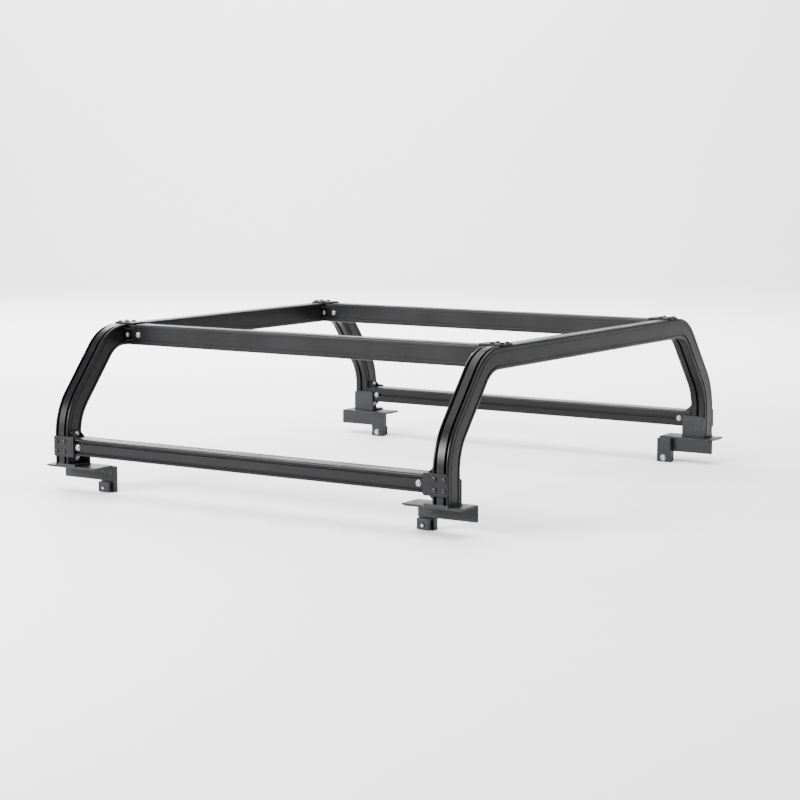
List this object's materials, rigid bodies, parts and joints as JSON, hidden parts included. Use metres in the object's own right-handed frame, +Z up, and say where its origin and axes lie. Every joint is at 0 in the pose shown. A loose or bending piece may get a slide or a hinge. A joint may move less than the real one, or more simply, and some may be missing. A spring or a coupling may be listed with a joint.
{
  "type": "ladder rack",
  "caption": "Truck-bed ladder rack: two bent slotted arches joined by upper and lower side rails, on bed-rail brackets with screw clamps.",
  "frame": {"origin": "middle of the rack in plan, level with the lower ends of the four clamp blocks; the bed rail's top is at z = 0.074 m", "axes": "+X to the truck's right-hand side, +Y forward, +Z up"},
  "size_m": [1.6408, 1.429, 0.4874],
  "materials": {
    "extrusion": "satin black powder coat over aluminium extrusion",
    "casting": "satin black powder coat over cast aluminium",
    "plate": "fine-textured black powder coat on plate",
    "bracket": "dark grey powder coat on bent plate",
    "clamp": "dark grey powder coat on machined block",
    "rubber": "matt black rubber",
    "stainless": "stainless steel fasteners",
    "zinc": "zinc-plated T-nuts"
  },
  "bodies": {
    "rack": {"front_arch": "extrusion", "front_cross_bolts": "stainless", "front_flange_bolts": "stainless", "front_left_bed_bracket": "bracket", "front_left_bed_pad": "rubber", "front_left_clamp_block": "clamp", "front_left_foot": "bracket", "front_left_lower_fitting": "casting", "front_left_lower_plate": "plate", "front_left_upper_fitting": "casting", "front_left_upper_plate": "plate", "front_mount_screws": "stainless", "front_plate_bolts": "stainless", "front_plate_nuts": "zinc", "front_right_bed_bracket": "bracket", "front_right_bed_pad": "rubber", "front_right_clamp_block": "clamp", "front_right_foot": "bracket", "front_right_lower_fitting": "casting", "front_right_lower_plate": "plate", "front_right_upper_fitting": "casting", "front_right_upper_plate": "plate", "left_lower_rail": "extrusion", "left_upper_rail": "extrusion", "rear_arch": "extrusion", "rear_cross_bolts": "stainless", "rear_flange_bolts": "stainless", "rear_left_bed_bracket": "bracket", "rear_left_bed_pad": "rubber", "rear_left_clamp_block": "clamp", "rear_left_foot": "bracket", "rear_left_lower_fitting": "casting", "rear_left_lower_plate": "plate", "rear_left_upper_fitting": "casting", "rear_left_upper_plate": "plate", "rear_mount_screws": "stainless", "rear_plate_bolts": "stainless", "rear_plate_nuts": "zinc", "rear_right_bed_bracket": "bracket", "rear_right_bed_pad": "rubber", "rear_right_clamp_block": "clamp", "rear_right_foot": "bracket", "rear_right_lower_fitting": "casting", "rear_right_lower_plate": "plate", "rear_right_upper_fitting": "casting", "rear_right_upper_plate": "plate", "right_lower_rail": "extrusion", "right_upper_rail": "extrusion"},
    "front_left_clamp_bolt": {"front_left_clamp_bolt": "stainless"},
    "front_left_clamp_jaw": {"front_left_clamp_jaw": "clamp"},
    "front_right_clamp_bolt": {"front_right_clamp_bolt": "stainless"},
    "front_right_clamp_jaw": {"front_right_clamp_jaw": "clamp"},
    "rear_left_clamp_bolt": {"rear_left_clamp_bolt": "stainless"},
    "rear_left_clamp_jaw": {"rear_left_clamp_jaw": "clamp"},
    "rear_right_clamp_bolt": {"rear_right_clamp_bolt": "stainless"},
    "rear_right_clamp_jaw": {"rear_right_clamp_jaw": "clamp"}
  },
  "joints": [
    {"name": "front_left_clamp_turn", "type": "hinge", "parent": "rack", "child": "front_left_clamp_bolt", "pos_m": [-0.7135, 0.5545, 0.014], "axis": [-1, 0, 0], "range_deg": [0, 2165]},
    {"name": "front_left_jaw_slide", "type": "slide", "parent": "rack", "child": "front_left_clamp_jaw", "axis": [1, 0, 0], "range_m": [0, 0.009]},
    {"name": "front_right_clamp_turn", "type": "hinge", "parent": "rack", "child": "front_right_clamp_bolt", "pos_m": [0.7135, 0.5545, 0.014], "axis": [1, 0, 0], "range_deg": [0, 2165]},
    {"name": "front_right_jaw_slide", "type": "slide", "parent": "rack", "child": "front_right_clamp_jaw", "axis": [-1, 0, 0], "range_m": [0, 0.009]},
    {"name": "rear_left_clamp_turn", "type": "hinge", "parent": "rack", "child": "rear_left_clamp_bolt", "pos_m": [-0.7135, -0.5545, 0.014], "axis": [-1, 0, 0], "range_deg": [0, 2165]},
    {"name": "rear_left_jaw_slide", "type": "slide", "parent": "rack", "child": "rear_left_clamp_jaw", "axis": [1, 0, 0], "range_m": [0, 0.009]},
    {"name": "rear_right_clamp_turn", "type": "hinge", "parent": "rack", "child": "rear_right_clamp_bolt", "pos_m": [0.7135, -0.5545, 0.014], "axis": [1, 0, 0], "range_deg": [0, 2165]},
    {"name": "rear_right_jaw_slide", "type": "slide", "parent": "rack", "child": "rear_right_clamp_jaw", "axis": [-1, 0, 0], "range_m": [0, 0.009]}
  ],
  "couplings": [
    {"joint": "front_left_clamp_turn", "follows": "front_left_jaw_slide", "rad_per_m": 4188.8},
    {"joint": "front_right_clamp_turn", "follows": "front_right_jaw_slide", "rad_per_m": 4188.8},
    {"joint": "rear_left_clamp_turn", "follows": "rear_left_jaw_slide", "rad_per_m": 4188.8},
    {"joint": "rear_right_clamp_turn", "follows": "rear_right_jaw_slide", "rad_per_m": 4188.8}
  ]
}
